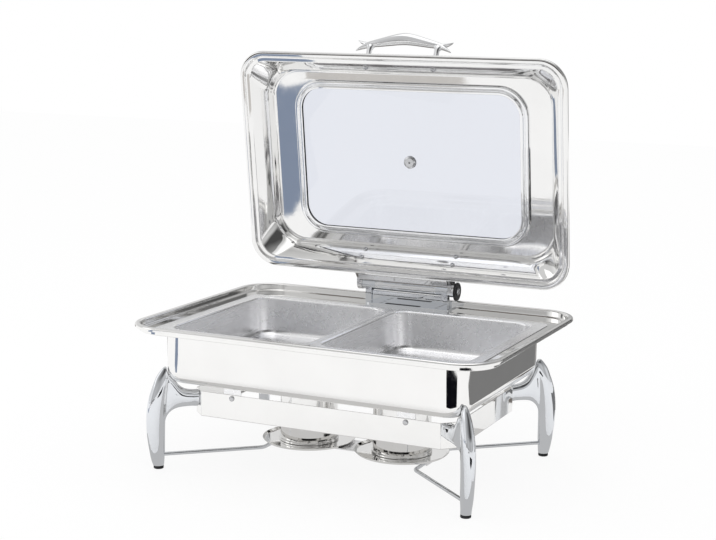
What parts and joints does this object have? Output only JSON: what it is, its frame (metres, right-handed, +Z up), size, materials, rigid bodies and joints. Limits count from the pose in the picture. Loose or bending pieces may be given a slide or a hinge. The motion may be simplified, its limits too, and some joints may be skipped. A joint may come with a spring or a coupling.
{
  "type": "hydraulic chafing dish",
  "caption": "Rectangular chafing dish on four horn-shaped legs: hinged dome lid with a glass window and damped hinge, food pans side by side in a water bath, fuel cups below.",
  "frame": {"origin": "on the table, under the middle of the whole dish's box with the lid open", "axes": "+X to the right along the length, +Y to the back where the hinge is, +Z up"},
  "size_m": [0.595, 0.4375, 0.6692],
  "materials": {
    "polished_steel": "mirror-polished stainless sheet",
    "satin_steel": "satin stainless sheet",
    "chrome": "polished chrome",
    "bright_screws": "bright stainless",
    "glass": "clear tempered, faintly blue",
    "black_rubber": "matt black",
    "black_plastic": "gloss black"
  },
  "bodies": {
    "stand": {"stand_frame": "polished_steel", "leg_front_left": "chrome", "leg_front_right": "chrome", "leg_back_left": "chrome", "leg_back_right": "chrome", "foot_front_left": "black_rubber", "foot_front_right": "black_rubber", "foot_back_left": "black_rubber", "foot_back_right": "black_rubber", "leg_bolts": "bright_screws", "pan_rests": "satin_steel", "rest_screws": "bright_screws", "side_rod_left": "chrome", "side_rod_right": "chrome", "burner_bar": "satin_steel", "burner_rivets": "bright_screws", "drip_tray_left": "satin_steel", "drip_tray_right": "satin_steel"},
    "bath": {"water_pan": "polished_steel", "rim_frame": "polished_steel", "hinge_base": "chrome", "hinge_base_screws": "bright_screws", "damper_tube": "chrome", "damper_seals": "black_rubber", "lid_buffer": "black_rubber"},
    "lid": {"lid_shell": "polished_steel", "window_frame": "chrome", "window_seal": "black_rubber", "window_glass": "glass", "vent_grommet": "black_rubber", "handle": "chrome", "handle_washers": "bright_screws", "handle_screws": "bright_screws", "lid_bracket": "chrome", "bracket_screws": "bright_screws", "hinge_pin": "bright_screws", "damper_rotor": "bright_screws", "damper_cap": "black_plastic", "cap_screw": "bright_screws"},
    "pan_left": {"food_pan_left": "satin_steel"},
    "pan_right": {"food_pan_right": "satin_steel"},
    "cup_left": {"fuel_cup_left": "satin_steel"},
    "cup_right": {"fuel_cup_right": "satin_steel"}
  },
  "joints": [
    {"name": "bath_lift", "type": "slide", "parent": "stand", "child": "bath", "axis": [0, 0, 1], "range_m": [0, 0.12]},
    {"name": "lid_hinge", "type": "hinge", "parent": "bath", "child": "lid", "pos_m": [0, 0.20325, 0.2466], "axis": [-1, 0, 0], "range_deg": [-82, 0]},
    {"name": "pan_left_lift", "type": "slide", "parent": "bath", "child": "pan_left", "axis": [0, 0, 1], "range_m": [0, 0.12]},
    {"name": "pan_right_lift", "type": "slide", "parent": "bath", "child": "pan_right", "axis": [0, 0, 1], "range_m": [0, 0.12]},
    {"name": "cup_left_lift", "type": "slide", "parent": "stand", "child": "cup_left", "axis": [0, 0, 1], "range_m": [0, 0.025]},
    {"name": "cup_right_lift", "type": "slide", "parent": "stand", "child": "cup_right", "axis": [0, 0, 1], "range_m": [0, 0.025]}
  ]
}
